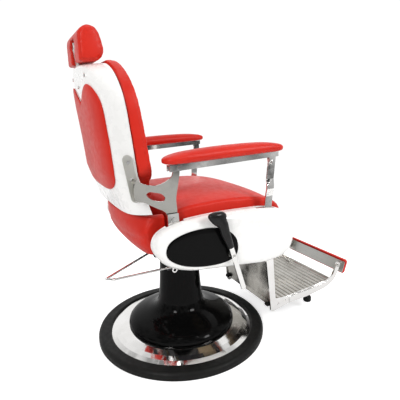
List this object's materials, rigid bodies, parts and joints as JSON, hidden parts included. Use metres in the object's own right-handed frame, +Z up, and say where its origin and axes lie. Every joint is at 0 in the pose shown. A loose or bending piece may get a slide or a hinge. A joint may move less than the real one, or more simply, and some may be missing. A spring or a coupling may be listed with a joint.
{
  "type": "hydraulic barber chair",
  "caption": "Reclining barber chair on a round pedestal: padded seat, back, armrests and headrest, pump lever, swinging footrest with a flip-up calf pad.",
  "frame": {"origin": "centre of the round base, on the floor", "axes": "+Z up, -Y the way the sitter faces, +X to the sitter's left"},
  "size_m": [0.675, 1.0521, 1.113],
  "materials": {
    "rubber_black": "satin",
    "chrome": "polished",
    "gloss_black": "gloss",
    "gloss_ivory": "gloss",
    "vinyl_red": "satin",
    "brushed_steel": "brushed",
    "painted_steel": "satin",
    "cast_iron": "matt",
    "plywood": "sanded",
    "grip_black": "satin"
  },
  "bodies": {
    "base": {"ballast_plate": "cast_iron", "base_ring": "rubber_black", "base_plate": "chrome", "pump_cover": "gloss_black", "pump_flange": "cast_iron", "base_bolts": "brushed_steel", "pump_cylinder": "painted_steel", "oil_tank": "painted_steel", "gland_bush": "brushed_steel"},
    "ram": {"ram_rod": "chrome", "ram_piston": "brushed_steel", "swivel_bearing": "brushed_steel"},
    "seat": {"seat_hub": "cast_iron", "mount_plate": "painted_steel", "seat_frame": "painted_steel", "seat_deck": "plywood", "seat_cushion": "vinyl_red", "rear_wrap": "vinyl_red", "side_cover_right": "gloss_ivory", "side_cover_left": "gloss_ivory", "eye_panel_right": "gloss_black", "eye_panel_left": "gloss_black", "rear_posts": "chrome", "post_brackets": "painted_steel", "pivot_pins": "chrome", "seat_bolts": "brushed_steel", "cover_standoffs": "brushed_steel"},
    "plunger": {"pump_plunger": "brushed_steel"},
    "pump_lever": {"pump_shaft": "brushed_steel", "lever_bar": "chrome", "lever_grip": "grip_black"},
    "release": {"release_loop": "chrome"},
    "back": {"back_shell": "gloss_ivory", "back_panel": "vinyl_red", "back_cushion": "vinyl_red", "back_board": "plywood", "slotted_bracket_right": "chrome", "slotted_bracket_left": "chrome", "back_screws": "chrome", "headrest_socket": "painted_steel"},
    "headrest_slider": {"headrest_bar": "brushed_steel"},
    "headrest": {"headrest_hinge": "brushed_steel", "headrest_pad": "vinyl_red"},
    "footrest": {"footrest_axle": "brushed_steel", "footrest_arms": "chrome", "footrest_rails": "chrome", "footrest_tread": "chrome", "footrest_apron": "chrome", "footrest_tray": "grip_black", "footrest_bumpers": "rubber_black"},
    "calf_flap": {"calf_plate": "brushed_steel", "calf_pad": "vinyl_red"},
    "armrest_right": {"armrest_rail_right": "chrome", "armrest_pad_right": "vinyl_red"},
    "post_right": {"front_post_right": "chrome"},
    "link_right": {"recline_link_right": "brushed_steel"},
    "armrest_left": {"armrest_rail_left": "chrome", "armrest_pad_left": "vinyl_red"},
    "post_left": {"front_post_left": "chrome"},
    "link_left": {"recline_link_left": "brushed_steel"}
  },
  "joints": [
    {"name": "lift", "type": "slide", "parent": "base", "child": "ram", "axis": [0, 0, 1], "range_m": [0, 0.15]},
    {"name": "swivel", "type": "hinge", "parent": "ram", "child": "seat", "pos_m": [0, 0, 0.37], "axis": [0, 0, 1], "continuous": true},
    {"name": "pump_lever", "type": "hinge", "parent": "seat", "child": "pump_lever", "pos_m": [-0.335, -0.046, 0.412], "axis": [-1, 0, 0], "range_deg": [-12, 25]},
    {"name": "plunger_stroke", "type": "slide", "parent": "seat", "child": "plunger", "axis": [0, 0, -1], "range_m": [-0.012, 0.024]},
    {"name": "release_pull", "type": "hinge", "parent": "seat", "child": "release", "pos_m": [-0.12, 0.11, 0.36], "axis": [1, 0, 0], "range_deg": [0, 12]},
    {"name": "recline", "type": "hinge", "parent": "seat", "child": "back", "pos_m": [0, 0.127, 0.54], "axis": [-1, 0, 0], "range_deg": [0, 45]},
    {"name": "headrest_lift", "type": "slide", "parent": "back", "child": "headrest_slider", "axis": [0, 0.1149, 0.9934], "range_m": [0, 0.1]},
    {"name": "headrest_tilt", "type": "hinge", "parent": "headrest_slider", "child": "headrest", "pos_m": [0, 0.3165, 1.062], "axis": [-1, 0, 0], "range_deg": [0, 15]},
    {"name": "footrest_swing", "type": "hinge", "parent": "seat", "child": "footrest", "pos_m": [0, -0.27, 0.425], "axis": [-1, 0, 0], "range_deg": [0, 45]},
    {"name": "calf_flap", "type": "hinge", "parent": "footrest", "child": "calf_flap", "pos_m": [0, -0.668, 0.188], "axis": [-1, 0, 0], "range_deg": [0, 80]},
    {"name": "armrest_right", "type": "hinge", "parent": "back", "child": "armrest_right", "pos_m": [-0.287, 0.11, 0.699], "axis": [-1, 0, 0], "range_deg": [-45, 0]},
    {"name": "front_post_right", "type": "hinge", "parent": "seat", "child": "post_right", "pos_m": [-0.288, -0.207, 0.528], "axis": [-1, 0, 0], "range_deg": [0, 45]},
    {"name": "recline_link_right", "type": "hinge", "parent": "back", "child": "link_right", "pos_m": [-0.2635, 0.127, 0.485], "axis": [-1, 0, 0], "range_deg": [-45, 0]},
    {"name": "armrest_left", "type": "hinge", "parent": "back", "child": "armrest_left", "pos_m": [0.287, 0.11, 0.699], "axis": [-1, 0, 0], "range_deg": [-45, 0]},
    {"name": "front_post_left", "type": "hinge", "parent": "seat", "child": "post_left", "pos_m": [0.288, -0.207, 0.528], "axis": [-1, 0, 0], "range_deg": [0, 45]},
    {"name": "recline_link_left", "type": "hinge", "parent": "back", "child": "link_left", "pos_m": [0.2635, 0.127, 0.485], "axis": [-1, 0, 0], "range_deg": [-45, 0]}
  ],
  "couplings": [
    {"joint": "plunger_stroke", "follows": "pump_lever", "m_per_rad": 0.044},
    {"joint": "footrest_swing", "follows": "recline", "ratio": 1},
    {"joint": "armrest_right", "follows": "recline", "ratio": -1},
    {"joint": "front_post_right", "follows": "recline", "ratio": 1},
    {"joint": "recline_link_right", "follows": "recline", "ratio": -1},
    {"joint": "armrest_left", "follows": "recline", "ratio": -1},
    {"joint": "front_post_left", "follows": "recline", "ratio": 1},
    {"joint": "recline_link_left", "follows": "recline", "ratio": -1}
  ]
}
